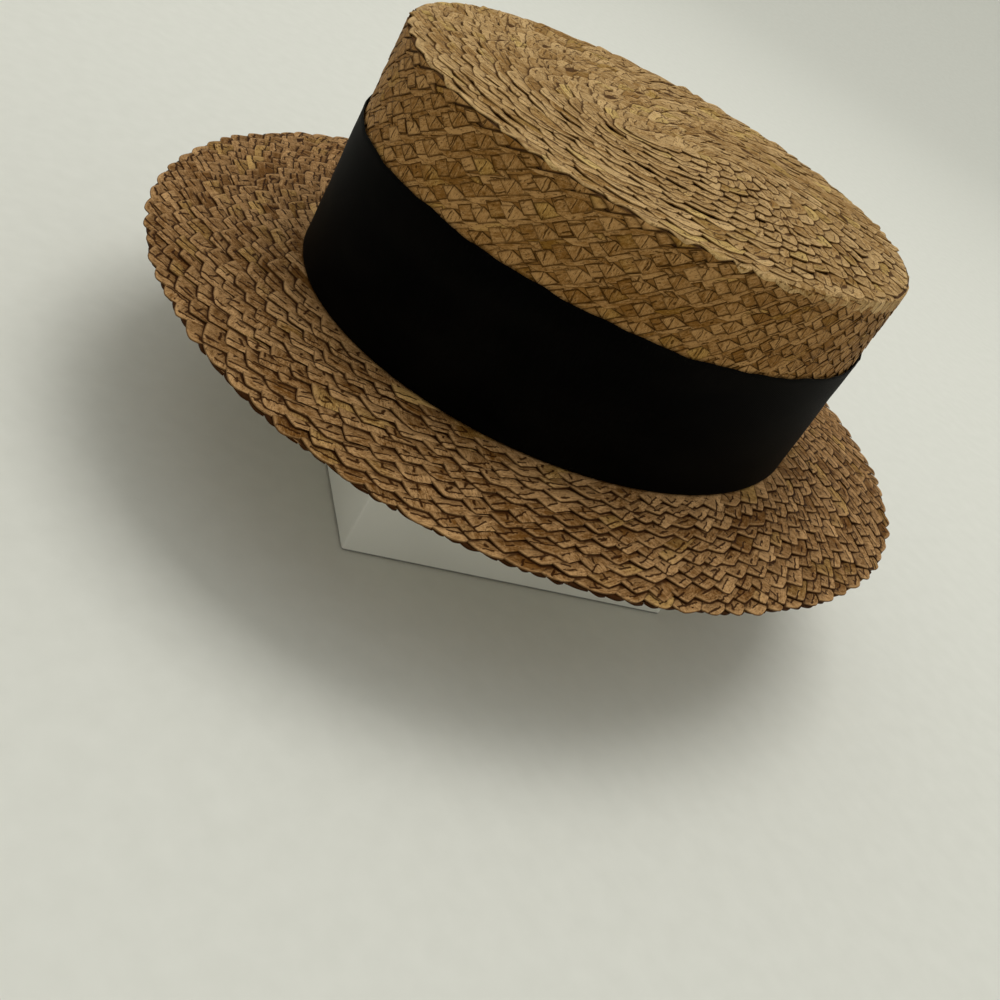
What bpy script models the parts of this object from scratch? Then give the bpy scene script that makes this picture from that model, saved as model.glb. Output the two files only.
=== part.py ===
"""Straw boater hat on a plain display block.

Metres, +Z up. The origin lies on the surface that the block stands on, straight below the
middle of the crown. The crown is longest along Y. The wearer faces -Y, so the wearer's left
side is +X.

The straw is braid, sewn row over row: each row's outer edge lies on top of the next row out.
"""
import math

import bmesh
import bpy

# Crown, over the straw, where it meets the brim
CROWN_LENGTH = 0.2004
CROWN_WIDTH = 0.1624
CROWN_HEIGHT = 0.0760
CROWN_LEAN = 0.0012
CROWN_WALL = 0.0025

# Tip, the flat top of the crown
TIP_THICKNESS = 0.0025
TIP_EDGE_RADIUS = 0.0010
TIP_ROW_WIDTH = 0.0050
TIP_ROWS = 9

# Brim, measured outwards from the straw of the crown
BRIM_WIDTH = 0.0470
BRIM_THICKNESS = 0.0030
BRIM_ROW_WIDTH = 0.0052
BRIM_DROP_SIDES = 0.0015
BRIM_DROP_ENDS = 0.0030
RIM_ROUNDING = 0.0008
RIM_SQUARENESS = 2.1

# How far a row's outer edge stands above the row that it covers
ROW_STEP = 0.0006

# Ribbon round the crown, and its lapped end
RIBBON_HEIGHT = 0.0472
RIBBON_THICKNESS = 0.0010
LAP_LENGTH = 0.0240
LAP_INSET = 0.0004
LAP_ANGLE = 41.0

# Plain block under the hat
BLOCK_DEPTH = 0.1500
BLOCK_WIDTH = 0.1240
BLOCK_HEIGHT = 0.0562
BLOCK_EDGE = 0.0006
BLOCK_SHIFT_X = -0.0081
BLOCK_SHIFT_Y = -0.0062
BLOCK_TURN = -17.4

# Clear space between two pieces that touch on the real hat
GAP = 0.0003

# Points round every oval, and along the lap
OVAL_POINTS = 80
LAP_POINTS = 7

# Steps round a rounded edge, how finely a distance is searched, and the smooth shading's limit
EDGE_STEPS = 2
HALVINGS = 40
SHARP_DEGREES = 30.0

STRAW_BROWN = (0.36, 0.22, 0.10, 1.0)
STRAW_PALE = (0.46, 0.30, 0.14, 1.0)
STRAW_DARK = (0.30, 0.18, 0.08, 1.0)
RIBBON_BLACK = (0.012, 0.012, 0.012, 1.0)
BLOCK_WHITE = (0.72, 0.72, 0.69, 1.0)


def clear_scene():
    """Remove every object, so that the script gives the same model from any start."""
    for item in list(bpy.data.objects):
        bpy.data.objects.remove(item, do_unlink=True)


def make_material(name, colour, roughness, metallic=0.0):
    """A plain Principled material."""
    material = bpy.data.materials.new(name)
    material.use_nodes = True
    shader = material.node_tree.nodes["Principled BSDF"]
    shader.inputs["Base Color"].default_value = colour
    shader.inputs["Roughness"].default_value = roughness
    shader.inputs["Metallic"].default_value = metallic
    return material


def oval_point(outward, turn, height, squareness=2.0):
    """A point on the oval that lies a distance outward of the crown's foot.

    The turn is 0 at the wearer's left, +X, and grows towards the back, +Y. A squareness of 2
    is a true ellipse, and a little more fills out its corners.
    """
    power = 2.0 / squareness
    across = math.copysign(abs(math.cos(turn)) ** power, math.cos(turn))
    along = math.copysign(abs(math.sin(turn)) ** power, math.sin(turn))
    return (
        (CROWN_WIDTH / 2 + outward) * across,
        (CROWN_LENGTH / 2 + outward) * along,
        height,
    )


def turns(start=0.0, end=2 * math.pi, count=OVAL_POINTS, closed=True):
    """Evenly spaced turns, with the last one left out where the run closes on itself."""
    steps = count if closed else count - 1
    return [start + (end - start) * i / steps for i in range(count)]


def level_oval(outward, height):
    """A whole oval at one height."""
    return [oval_point(outward, turn, height) for turn in turns()]


def crown_lean(above_brim):
    """How far the side has leaned in at a height above the brim."""
    return -CROWN_LEAN * above_brim / CROWN_HEIGHT


def brim_drop(outward, turn):
    """How far the brim has dropped at a distance out from the crown, most at front and back."""
    share = max(outward, 0.0) / BRIM_WIDTH
    full = BRIM_DROP_SIDES + (BRIM_DROP_ENDS - BRIM_DROP_SIDES) * math.sin(turn) ** 2
    return full * share**2


def brim_oval(outward, below_top):
    """An oval of the brim, a depth below its top surface where that has no steps."""
    share = max(outward, 0.0) / BRIM_WIDTH
    squareness = 2.0 + (RIM_SQUARENESS - 2.0) * share
    points = []
    for turn in turns():
        height = brim_top() - brim_drop(outward, turn) - below_top
        points.append(oval_point(outward, turn, height, squareness))
    return points


def block_corners():
    """The block's four corners in plan."""
    angle = math.radians(BLOCK_TURN)
    corners = []
    for side_x in (-0.5, 0.5):
        for side_y in (-0.5, 0.5):
            x = BLOCK_DEPTH * side_x
            y = BLOCK_WIDTH * side_y
            corners.append((
                BLOCK_SHIFT_X + x * math.cos(angle) - y * math.sin(angle),
                BLOCK_SHIFT_Y + x * math.sin(angle) + y * math.cos(angle),
            ))
    return corners


def distance_out(x, y):
    """How far outward of the crown's foot a point in plan lies, found by halving."""
    low = -CROWN_WIDTH / 2 + GAP
    high = CROWN_LENGTH + BRIM_WIDTH
    for _ in range(HALVINGS):
        middle = (low + high) / 2
        size = (x / (CROWN_WIDTH / 2 + middle)) ** 2 + (y / (CROWN_LENGTH / 2 + middle)) ** 2
        if size > 1.0:
            low = middle
        else:
            high = middle
    return low


def brim_top():
    """Height of the brim's top at the crown: the dropped brim rests on the block's corners."""
    drop = 0.0
    for x, y in block_corners():
        outward = min(distance_out(x, y), BRIM_WIDTH)
        drop = max(drop, brim_drop(outward, math.atan2(y, x)))
    return BLOCK_HEIGHT + GAP + drop + BRIM_THICKNESS


def add_object(name, mesh, material):
    """Put a finished mesh into the hat's collection."""
    mesh.materials.append(material)
    item = bpy.data.objects.new(name, mesh)
    COLLECTION.objects.link(item)
    return item


def loft(name, rings, material, closed=False, capped=False, round_again=True):
    """Skin a row of point rings into one mesh.

    closed joins the last ring to the first, which makes a hoop with a solid section. capped
    fills the first and last ring. round_again joins the ends of each ring.
    """
    work = bmesh.new()
    rows = [[work.verts.new(point) for point in ring] for ring in rings]
    pairs = list(zip(rows, rows[1:]))
    if closed:
        pairs.append((rows[-1], rows[0]))
    count = len(rows[0])
    spans = count if round_again else count - 1
    for lower, upper in pairs:
        for i in range(spans):
            j = (i + 1) % count
            work.faces.new((lower[i], lower[j], upper[j], upper[i]))
    if capped:
        work.faces.new(list(reversed(rows[0])))
        work.faces.new(rows[-1])
    if closed or capped:
        bmesh.ops.recalc_face_normals(work, faces=work.faces)
    mesh = bpy.data.meshes.new(name)
    work.to_mesh(mesh)
    work.free()
    mesh.shade_smooth()
    mesh.set_sharp_from_angle(angle=math.radians(SHARP_DEGREES))
    return add_object(name, mesh, material)


def thicken(item, thickness, outwards):
    """Give an open surface its wall."""
    wall = item.modifiers.new("wall", "SOLIDIFY")
    wall.thickness = thickness
    wall.offset = 1.0 if outwards else -1.0
    wall.use_even_offset = True
    return item


def build_brim():
    """The brim: rows of braid, stepped above and below, round the head opening."""
    rows = max(2, round(BRIM_WIDTH / BRIM_ROW_WIDTH))
    width = BRIM_WIDTH / rows
    rings = [brim_oval(-CROWN_WALL, 0.0)]
    for row in range(1, rows):
        rings.append(brim_oval(row * width, 0.0))
        rings.append(brim_oval(row * width, ROW_STEP))
    rings.append(brim_oval(BRIM_WIDTH - RIM_ROUNDING, 0.0))
    rings.append(brim_oval(BRIM_WIDTH, RIM_ROUNDING))
    rings.append(brim_oval(BRIM_WIDTH, BRIM_THICKNESS - ROW_STEP - RIM_ROUNDING))
    rings.append(brim_oval(BRIM_WIDTH - RIM_ROUNDING, BRIM_THICKNESS - ROW_STEP))
    for row in range(rows - 1, 0, -1):
        rings.append(brim_oval(row * width, BRIM_THICKNESS))
        rings.append(brim_oval(row * width, BRIM_THICKNESS - ROW_STEP))
    rings.append(brim_oval(-CROWN_WALL, BRIM_THICKNESS))
    return loft("brim", rings, make_material("brim_straw", STRAW_DARK, 0.75), closed=True)


def build_crown_side():
    """The upright side of the crown, standing on the brim and leaning in a little."""
    foot = brim_top() + GAP
    head = brim_top() + CROWN_HEIGHT - TIP_THICKNESS - GAP
    rings = [level_oval(crown_lean(z - brim_top()), z) for z in (foot, head)]
    side = loft("crown_side", rings, make_material("side_straw", STRAW_BROWN, 0.7))
    return thicken(side, CROWN_WALL, outwards=False)


def build_crown_tip():
    """The flat tip: rows of braid, each lapped on the next one out, round a plain middle."""
    top = brim_top() + CROWN_HEIGHT
    edge = crown_lean(CROWN_HEIGHT)
    rings = [level_oval(edge, top - TIP_THICKNESS)]
    for step in range(EDGE_STEPS + 1):
        bend = math.pi / 2 * step / EDGE_STEPS
        inset = TIP_EDGE_RADIUS * (1 - math.cos(bend))
        depth = TIP_EDGE_RADIUS * (1 - math.sin(bend))
        rings.append(level_oval(edge - inset, top - depth))
    for row in range(1, TIP_ROWS + 1):
        inset = edge - row * TIP_ROW_WIDTH
        rings.append(level_oval(inset, top - ROW_STEP))
        rings.append(level_oval(inset, top))
    return loft("crown_tip", rings, make_material("tip_straw", STRAW_PALE, 0.7), capped=True)


def ribbon_rings(clearance, inset, run):
    """The ribbon's foot and top line, a clearance out from the straw."""
    foot = GAP + inset
    head = GAP + RIBBON_HEIGHT - inset
    rings = []
    for above in (foot, head):
        outward = crown_lean(above) + clearance
        rings.append([oval_point(outward, turn, brim_top() + above) for turn in run])
    return rings


def build_ribbon_band():
    """The ribbon: one even band round the foot of the crown."""
    rings = ribbon_rings(GAP, 0.0, turns())
    band = loft("ribbon_band", rings, make_material("ribbon", RIBBON_BLACK, 0.85))
    return thicken(band, RIBBON_THICKNESS, outwards=True)


def build_ribbon_lap():
    """The ribbon's last stretch, lapped over the band and turned under at its end."""
    start = math.radians(LAP_ANGLE)
    radius = math.hypot(CROWN_WIDTH / 2 * math.sin(start), CROWN_LENGTH / 2 * math.cos(start))
    run = turns(start, start + LAP_LENGTH / radius, LAP_POINTS, closed=False)
    rings = ribbon_rings(GAP + RIBBON_THICKNESS + GAP, LAP_INSET, run)
    material = make_material("ribbon_end", RIBBON_BLACK, 0.85)
    lap = loft("ribbon_lap", rings, material, round_again=False)
    return thicken(lap, RIBBON_THICKNESS, outwards=True)


def build_display_block():
    """The plain block that carries the hat."""
    bpy.ops.mesh.primitive_cube_add(size=1.0)
    block = bpy.context.object
    block.name = "display_block"
    for holder in list(block.users_collection):
        holder.objects.unlink(block)
    COLLECTION.objects.link(block)
    for vert in block.data.vertices:
        vert.co.x *= BLOCK_DEPTH
        vert.co.y *= BLOCK_WIDTH
        vert.co.z *= BLOCK_HEIGHT
    block.location = (BLOCK_SHIFT_X, BLOCK_SHIFT_Y, BLOCK_HEIGHT / 2)
    block.rotation_euler = (0.0, 0.0, math.radians(BLOCK_TURN))
    edge = block.modifiers.new("edge", "BEVEL")
    edge.width = BLOCK_EDGE
    edge.segments = EDGE_STEPS
    block.data.materials.append(make_material("block_paint", BLOCK_WHITE, 0.6))
    return block


clear_scene()
COLLECTION = bpy.data.collections.new("straw_boater_hat")
bpy.context.scene.collection.children.link(COLLECTION)
build_crown_tip()
build_crown_side()
build_brim()
build_ribbon_band()
build_ribbon_lap()
build_display_block()
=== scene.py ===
# %% [markdown]
# # A straw boater on a plain block
#
# A boater is made of plaited straw braid, a tape about 7 mm wide, sewn round and round in rows.
# The sewing starts in the middle of the flat top, which hatters call the tip. It runs out to
# the edge, down the side of the crown, and out again over the brim. Each row's outer edge lies
# on the next row, so the hat looks like a roof of small scales. A wide black ribbon covers the
# foot of the crown.
#
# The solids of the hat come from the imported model. This lesson puts the straw, the ribbon and
# the paint on them, one step at a time.

# %% Load the solids
import math

import bmesh
import bpy
import numpy as np
from mathutils import Matrix, Vector


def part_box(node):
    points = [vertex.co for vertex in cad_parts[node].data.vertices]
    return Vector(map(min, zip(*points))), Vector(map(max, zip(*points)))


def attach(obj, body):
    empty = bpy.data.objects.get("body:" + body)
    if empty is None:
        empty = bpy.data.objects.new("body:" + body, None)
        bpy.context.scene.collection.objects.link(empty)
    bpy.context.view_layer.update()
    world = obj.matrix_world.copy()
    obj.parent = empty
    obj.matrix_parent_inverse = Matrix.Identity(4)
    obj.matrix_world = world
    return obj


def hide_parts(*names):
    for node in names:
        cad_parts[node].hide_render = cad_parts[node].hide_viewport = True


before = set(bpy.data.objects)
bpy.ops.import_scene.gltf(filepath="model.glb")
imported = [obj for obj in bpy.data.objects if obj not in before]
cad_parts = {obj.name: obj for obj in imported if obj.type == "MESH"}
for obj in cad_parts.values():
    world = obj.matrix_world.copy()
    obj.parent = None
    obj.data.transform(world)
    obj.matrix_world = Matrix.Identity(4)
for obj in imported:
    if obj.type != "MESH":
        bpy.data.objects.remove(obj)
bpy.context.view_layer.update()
print("solids:", sorted(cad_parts))

# %% [markdown]
# The sizes are read from the solids, so the straw always fits them. A box is given by its low
# and its high corner. A row of straw is only a few tenths of a millimetre thick, so it helps to
# have a name for the millimetre.

# %% Read the sizes
MM = 0.001
side_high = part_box("crown_side")[1]
tip_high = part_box("crown_tip")[1]
brim_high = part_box("brim")[1]
band_low, band_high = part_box("ribbon_band")

half_width = side_high.x
half_length = side_high.y
lean = half_width - tip_high.x
brim_width = brim_high.x - half_width
brim_top = brim_high.z
crown_top = tip_high.z
crown_height = crown_top - brim_top
print("crown half width and length, mm:", round(half_width / MM, 1), round(half_length / MM, 1))
print("crown height and brim width, mm:", round(crown_height / MM, 1), round(brim_width / MM, 1))

# %% [markdown]
# The photo was taken from the wearer's left and front, a little above the hat, with the camera
# tipped to one side. The three rows of the matrix below are the directions of the picture's
# right edge, its upper edge and the way back to the lens, in the hat's own axes.

# %% Camera
LENS_PER_WIDTH = 1.128
SENSOR = 36.0
camera_place = Vector((0.24884, -0.28014, 0.21924))
picture_right = Vector((0.467829, 0.757168, 0.455886))
picture_up = Vector((-0.696645, -0.001516, 0.717414))
picture_back = Vector((0.543895, -0.653218, 0.526768))

camera_data = bpy.data.cameras.new("camera")
camera_data.sensor_width = SENSOR
camera_data.lens = SENSOR * LENS_PER_WIDTH
camera = bpy.data.objects.new("camera", camera_data)
turned = Matrix((picture_right, picture_up, picture_back)).transposed()
camera.matrix_world = Matrix.Translation(camera_place) @ turned.to_4x4()
bpy.context.scene.collection.objects.link(camera)
bpy.context.scene.camera = camera
print("camera looks down by", round(math.degrees(math.asin(picture_back.z)), 1), "degrees")

# %% [markdown]
# Every mesh here is made of small patches, each a grid of points. One helper turns a stack of
# such grids into a mesh, and stores numbers on its points that the materials read later.

# %% From grids of points to a mesh
SHARP_ANGLE = math.radians(38)


def grids_to_object(name, points, numbers=None, vectors=None):
    """Make one mesh of many grids. points is (grids, rows, columns, 3)."""
    count, rows, columns = points.shape[:3]
    index = np.arange(count * rows * columns).reshape(count, rows, columns)
    corners = (index[:, :-1, :-1], index[:, 1:, :-1], index[:, 1:, 1:], index[:, :-1, 1:])
    quads = np.stack(corners, axis=-1).reshape(-1, 4)
    mesh = bpy.data.meshes.new(name)
    mesh.from_pydata(points.reshape(-1, 3).tolist(), [], quads.tolist())
    for key, values in (numbers or {}).items():
        layer = mesh.attributes.new(key, "FLOAT", "POINT")
        full = np.broadcast_to(values, points.shape[:3]).astype(np.float32)
        layer.data.foreach_set("value", np.ascontiguousarray(full).ravel())
    for key, values in (vectors or {}).items():
        layer = mesh.attributes.new(key, "FLOAT_VECTOR", "POINT")
        layer.data.foreach_set("vector", values.astype(np.float32).ravel())
    mesh.shade_smooth()
    mesh.set_sharp_from_angle(angle=SHARP_ANGLE)
    made = bpy.data.objects.new(name, mesh)
    bpy.context.scene.collection.objects.link(made)
    print(name, "has", 2 * len(quads), "triangles")
    return made


def weld(piece, fill=False):
    """Join the meeting edges of a piece, close its ends if asked, and turn its faces out."""
    work = bmesh.new()
    work.from_mesh(piece.data)
    bmesh.ops.remove_doubles(work, verts=work.verts, dist=0.01 * MM)
    if fill:
        bmesh.ops.holes_fill(work, edges=[e for e in work.edges if e.is_boundary])
    bmesh.ops.recalc_face_normals(work, faces=work.faces)
    work.to_mesh(piece.data)
    work.free()
    piece.data.shade_smooth()
    piece.data.set_sharp_from_angle(angle=SHARP_ANGLE)
    return piece


# %% [markdown]
# The hat is built on ovals. An oval is named by how far it lies outward of the crown's foot,
# and a place on it by its turn. Straws are laid by the millimetre and not by the degree, so a
# table gives the turn for each distance along an oval.

# %% Ovals
TABLE_STEPS = 4000
RIM_SQUARENESS = 2.1


def oval(outward, turn):
    """X and Y on an oval. Towards the brim's edge its corners fill out a little."""
    share = np.clip(outward / brim_width, 0.0, 1.0)
    power = 2.0 / (2.0 + (RIM_SQUARENESS - 2.0) * share)
    across = np.sign(np.cos(turn)) * np.abs(np.cos(turn)) ** power
    along = np.sign(np.sin(turn)) * np.abs(np.sin(turn)) ** power
    return (half_width + outward) * across, (half_length + outward) * along


def measured_oval(outward):
    """The oval's length, and a function that gives the turn at a distance along it."""
    turn = np.linspace(0.0, 2 * math.pi, TABLE_STEPS)
    x, y = oval(outward, turn)
    steps = np.hypot(np.diff(x), np.diff(y))
    reached = np.concatenate([[0.0], np.cumsum(steps)])
    length = reached[-1]

    def turn_at(distance):
        laps = np.floor(distance / length)
        return np.interp(distance - laps * length, reached, turn) + laps * 2 * math.pi

    return length, turn_at


print("round the crown's foot, mm:", round(measured_oval(0.0)[0] / MM))

# %% [markdown]
# The straw lies on surfaces: the brim's top and its underside, the side of the crown, and the
# tip. Each is a function of the turn, of how far the straw has got down its way, and of how
# high it stands over the straw below it. The real brim is thinnest at its rim, so its two
# surfaces come together there, inside the solid. The tip's surface bends over the edge, because
# the tip's last row does.
#
# The braid is one long tape, so on its way down the side it gains one row in each round. The
# photo shows where: the pale band at the head of the side gets wider there.

# %% The surfaces under the straw
BRIM_DROP_SIDES = 1.5 * MM
BRIM_DROP_ENDS = 3.0 * MM
STRAW_DEPTH = 0.4 * MM
RIM_SINK = 0.8 * MM
CORE_AT_CROWN = 1.9 * MM
CORE_AT_RIM = 0.4 * MM
CROWN_WALL = 2.5 * MM
TIP_WALL = 2.5 * MM
EDGE_RADIUS = 0.7 * MM
SIDE_ROW = 5.4 * MM
DRIFT_FROM, DRIFT_TO = 0.37, 0.64


def smooth(low, high, value):
    """0 below low, 1 above high, and an even rise between them."""
    share = np.clip((value - low) / (high - low), 0.0, 1.0)
    return share * share * (3 - 2 * share)


def waves(turn, seed, sizes):
    """A gentle wave that closes on itself round the hat."""
    phases = np.random.default_rng(seed).uniform(0, 2 * math.pi, len(sizes))
    return sum(size * np.sin(lobes * turn + phase)
               for (lobes, size), phase in zip(sizes.items(), phases))


def over_edge(outward, lift):
    """Bend a way outwards down over the tip's edge. Gives how far out and how high it is."""
    bend = np.clip((outward + EDGE_RADIUS) / EDGE_RADIUS, 0.0, math.pi / 2)
    past = np.maximum(outward + EDGE_RADIUS - EDGE_RADIUS * math.pi / 2, 0.0)
    reach = np.minimum(outward, -EDGE_RADIUS) + (EDGE_RADIUS + lift) * np.sin(bend)
    rise = (EDGE_RADIUS + lift) * np.cos(bend) - EDGE_RADIUS - past
    return reach, rise


def rim_share(outward):
    """0 at the crown and 1 at the rim, slowly at first."""
    return (np.maximum(outward, 0.0) / brim_width) ** 2


def brim_surface(turn, outward, lift):
    """The brim's top, which drops a little towards the rim, most at the front and back."""
    x, y = oval(outward, turn)
    full = BRIM_DROP_SIDES + (BRIM_DROP_ENDS - BRIM_DROP_SIDES) * np.sin(turn) ** 2 + RIM_SINK
    height = brim_top - STRAW_DEPTH - full * rim_share(outward) + lift
    return np.stack([x, y, height], axis=-1)


def underside_surface(turn, inward, lift):
    """The brim's underside, measured from the rim inwards."""
    outward = brim_width - inward
    core = CORE_AT_CROWN + (CORE_AT_RIM - CORE_AT_CROWN) * rim_share(outward)
    return brim_surface(turn, outward, -core - lift)


def side_surface(turn, down, lift):
    """The side of the crown, measured from the tip's edge down."""
    height = crown_top - down
    outward = lift - lean * (height - brim_top) / crown_height
    x, y = (half_width + outward) * np.cos(turn), (half_length + outward) * np.sin(turn)
    return np.stack([x, y, height], axis=-1)


def tip_surface(turn, outward, lift):
    """The tip, where outward is 0 at its edge. Past the edge it runs down the side."""
    reach, rise = over_edge(outward, lift)
    x = (half_width - lean + reach) * np.cos(turn)
    y = (half_length - lean + reach) * np.sin(turn)
    return np.stack([x, y, crown_top + rise], axis=-1)


def drift(place, length):
    """How far the braid has run down: one row in one round, all at the wearer's left."""
    return SIDE_ROW * smooth(DRIFT_FROM, DRIFT_TO, np.mod(place / length + 0.5, 1.0))


# %% [markdown]
# At the edge of a plait each straw folds back, and that leaves a tooth shaped like a shield.
# On the hat only these shields show. They could be one displaced sheet, but then nothing would
# overlap. Here each shield is a small curved patch of its own, with a thin edge turned down,
# so that it throws a real shadow on the row it lies on. All its sizes vary a little from one
# shield to the next, as they do in hand plaited straw.

# %% One row of shields
draw = np.random.default_rng(11)
SHIELD_COLUMNS = np.array([-1, -1, -0.84, -0.6, -0.38, -0.18, 0, 0.18, 0.38, 0.6, 0.84, 1])
SHIELD_ROWS = np.array([0.0, 0.28, 0.52, 0.72, 0.86, 0.95, 1.0, 1.0])
FEWEST_SHIELDS = 6
BEAD = 0.10 * MM
RISING_SHARE = 0.7
CROSSING_ANGLE = 0.9


def divide_row(length, pitch, unevenness):
    """Places along a closed row where neighbouring shields meet."""
    count = max(FEWEST_SHIELDS, round(length / pitch))
    widths = np.exp(draw.normal(0.0, unevenness, count))
    widths *= length / widths.sum()
    return np.concatenate([[0.0], np.cumsum(widths)]) + draw.uniform(0, pitch)


def turned_place(sideways, deep, angle, third):
    """A place given along and across a direction, with a third number beside it."""
    return np.stack(np.broadcast_arrays(
        sideways * np.cos(angle) + deep * np.sin(angle),
        deep * np.cos(angle) - sideways * np.sin(angle), third), axis=-1)


def line_place(sideways, deep, angle, aside, middle, half):
    """Where a point lies from a short line: along it, across it, and half its length, in mm."""
    place = turned_place(sideways, deep, angle[:, None, None], half[:, None, None])
    place[..., 0] -= middle[:, None, None]
    place[..., 1] += aside[:, None, None]
    return place


def toothed_edge(length, turn_at, line, style):
    """Where the valleys and the teeth of a row are, along it and down."""
    valleys = divide_row(length, style["pitch"], style["unevenness"])
    count = len(valleys) - 1
    share = np.clip(draw.normal(style["apex_share"], 0.06, count), 0.3, 0.75)
    apex = valleys[:-1] + np.diff(valleys) * share
    seed, wander = int(draw.integers(1000)), style["wander"]
    lobes = {5: wander, 14: wander, 23: 0.5 * wander}
    notch = line + draw.normal(0.0, style["notch_spread"], count)
    notch = notch + waves(turn_at(valleys[:-1]), seed, lobes)
    notch = np.concatenate([notch, notch[:1]])
    depth = style["depth"] * np.exp(draw.normal(0.0, 0.2, count))
    depth = depth + waves(turn_at(apex), seed, lobes)
    if style["drifts"]:
        notch = notch + drift(valleys, length)
        depth = depth + drift(apex, length)
    return valleys, apex, notch, depth


def shield_heights(column, row, to_edge, style, count):
    """How high the points of each shield stand, with its thin edge turned down."""
    climb = style["foot"] + (style["lip"] - style["foot"]) * row**1.2
    swell = style["swell"] * (1 - 0.6 * np.abs(column) ** 3) * np.sin(math.pi * (0.15 + 0.7 * row))
    tilt = -draw.normal(style["tilt"], 0.7 * style["tilt"], count)[:, None, None] * column * row
    curl = draw.normal(0.0, style["curl"], count)[:, None, None]
    curl = curl * (1 - np.abs(column)) * row**3
    bead = BEAD * np.exp(-((to_edge - 0.55) / 0.35) ** 2) - BEAD * np.exp(-to_edge / 0.12)
    height = climb + swell + tilt + curl + bead
    height[:, -1, :] -= style["thickness"]
    height[:, :-1, 0] -= 0.7 * style["thickness"]
    return height


def shield_lines(sideways, deep, run, depth, tone):
    """The way of each shield's straw, its two dark lines and its tone, for the material."""
    count = len(depth)
    rising = draw.random(count) < RISING_SHARE
    right_edge = np.arctan2(-depth, run)
    angle = np.where(rising, right_edge, CROSSING_ANGLE + 0 * right_edge)[:, None, None]
    seed = draw.uniform(0, 100, count)
    straw = turned_place(sideways, deep, angle, seed[:, None, None])
    fold_line = line_place(
        sideways, deep - depth[:, None, None] / MM, right_edge, draw.uniform(1.3, 2.9, count),
        draw.normal(1.6, 0.6, count), draw.uniform(1.2, 4.5, count))
    hook = line_place(
        sideways - draw.normal(-0.9, 1.0, count)[:, None, None],
        deep - draw.normal(-1.6, 0.7, count)[:, None, None],
        draw.normal(1.2, 0.6, count), 0 * seed, 0 * seed, draw.uniform(0.0, 1.6, count))
    tone = draw.normal(tone, 0.16, count)[:, None, None]
    return {"straw": straw, "line": fold_line, "hook": hook,
            "tone": np.broadcast_to(tone, straw.shape[:3])}


def shield_row(surface, middle_oval, start, line, style, cover=None):
    """One row of shields.

    start is where the row begins, hidden under the row before it, and line is where the
    valleys between its teeth lie. style is a table of sizes. cover is the toothed edge of the
    row before, as turns and distances.
    """
    length, turn_at = measured_oval(middle_oval)
    valleys, apex, notch, depth = toothed_edge(length, turn_at, line, style)

    # Places of the points, (shields, rows, columns)
    column = style["columns"][None, None, :]
    row = style["rows"][None, :, None]
    reach = np.where(column < 0, (apex - valleys[:-1])[:, None, None],
                     (valleys[1:] - apex)[:, None, None])
    beside = apex[:, None, None] + column * reach
    valley = np.where(column < 0, notch[:-1, None, None], notch[1:, None, None])
    bluntness = style["bluntness"]
    slope = np.sqrt(column**2 + bluntness**2) - bluntness
    slope = slope / (math.sqrt(1 + bluntness**2) - bluntness)
    slope = np.where(column < 0, slope**1.25, slope)
    edge = valley + (line + depth[:, None, None] - valley) * (1 - slope)
    down = start + (edge - start) * row
    beside = beside + style["slant"] * (edge - down)
    to_edge = (edge - down) / MM
    height = shield_heights(column, row, to_edge, style, len(apex))
    turn = turn_at(beside)

    # Numbers for the material
    # Distance past the edge of the row above, in mm, where the material paints dust and shade.
    under = np.full(down.shape, 5.0)
    if cover is not None:
        cover_turn, cover_edge = cover
        under = (down - np.interp(turn, cover_turn, cover_edge, period=2 * math.pi)) / MM
    # The turned-down edge is painted dark, as dust and as the shade under the shield's lip.
    turned_down = np.zeros(down.shape)
    turned_down[:, -1, :] = 1
    made = {
        "points": surface(turn, down, height),
        "under": under,
        "lip": to_edge,
        "fold": turned_down,
        # How near a shield's side a point is; the material paints shade in the gap between
        # neighbours there.
        "side": np.broadcast_to(np.abs(column), down.shape),
    }
    made.update(shield_lines(
        (beside - apex[:, None, None]) / MM, (down - line) / MM, valleys[1:] - apex, depth,
        style["tone"]))
    order = np.argsort(np.concatenate([valleys[:-1], apex]))
    edge_turn = turn_at(np.concatenate([valleys[:-1], apex]))[order]
    edge_down = np.concatenate([notch[:-1], line + depth])[order]
    return made, (np.mod(edge_turn, 2 * math.pi), edge_down)


def lay_rows(surface, plan):
    """Rows of shields, each partly under the row before. plan holds what each row needs."""
    rows, cover = [], None
    for middle_oval, start, line, style in plan:
        made, cover = shield_row(surface, middle_oval, start, line, style, cover)
        rows.append(made)
    return rows


def join_rows(name, rows):
    """Join rows of patches into one object with its numbers."""
    together = {key: np.concatenate([row[key] for row in rows]) for key in rows[0]}
    points = together.pop("points")
    vectors = {key: together.pop(key) for key in ("straw", "line", "hook")}
    return grids_to_object(name, points, together, vectors)


# %% [markdown]
# ## Straw
#
# A split straw is a flat strip with fine lines along it, a satin shine and a colour that drifts
# from pale gold to brown. The material darkens it under the edge of the next row, between the
# shields, in the creases, on the turned-down edges and in a thin line right at its own edges, as
# dust and as painted shade there. Just inside its own edges it is paler, partly rubbed and partly
# a painted highlight. The patches carry those distances as numbers, so one material can paint
# all of it without any picture.

# %% Straw material
STRAW_SHINE = 0.05


def math_node(tree, operation, first, second=None):
    """A Math node whose inputs are sockets or numbers."""
    made = tree.nodes.new("ShaderNodeMath")
    made.operation = operation
    for slot, value in enumerate((first, second)):
        if value is None:
            continue
        if isinstance(value, (int, float)):
            made.inputs[slot].default_value = value
        else:
            tree.links.new(value, made.inputs[slot])
    return made.outputs[0]


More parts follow.
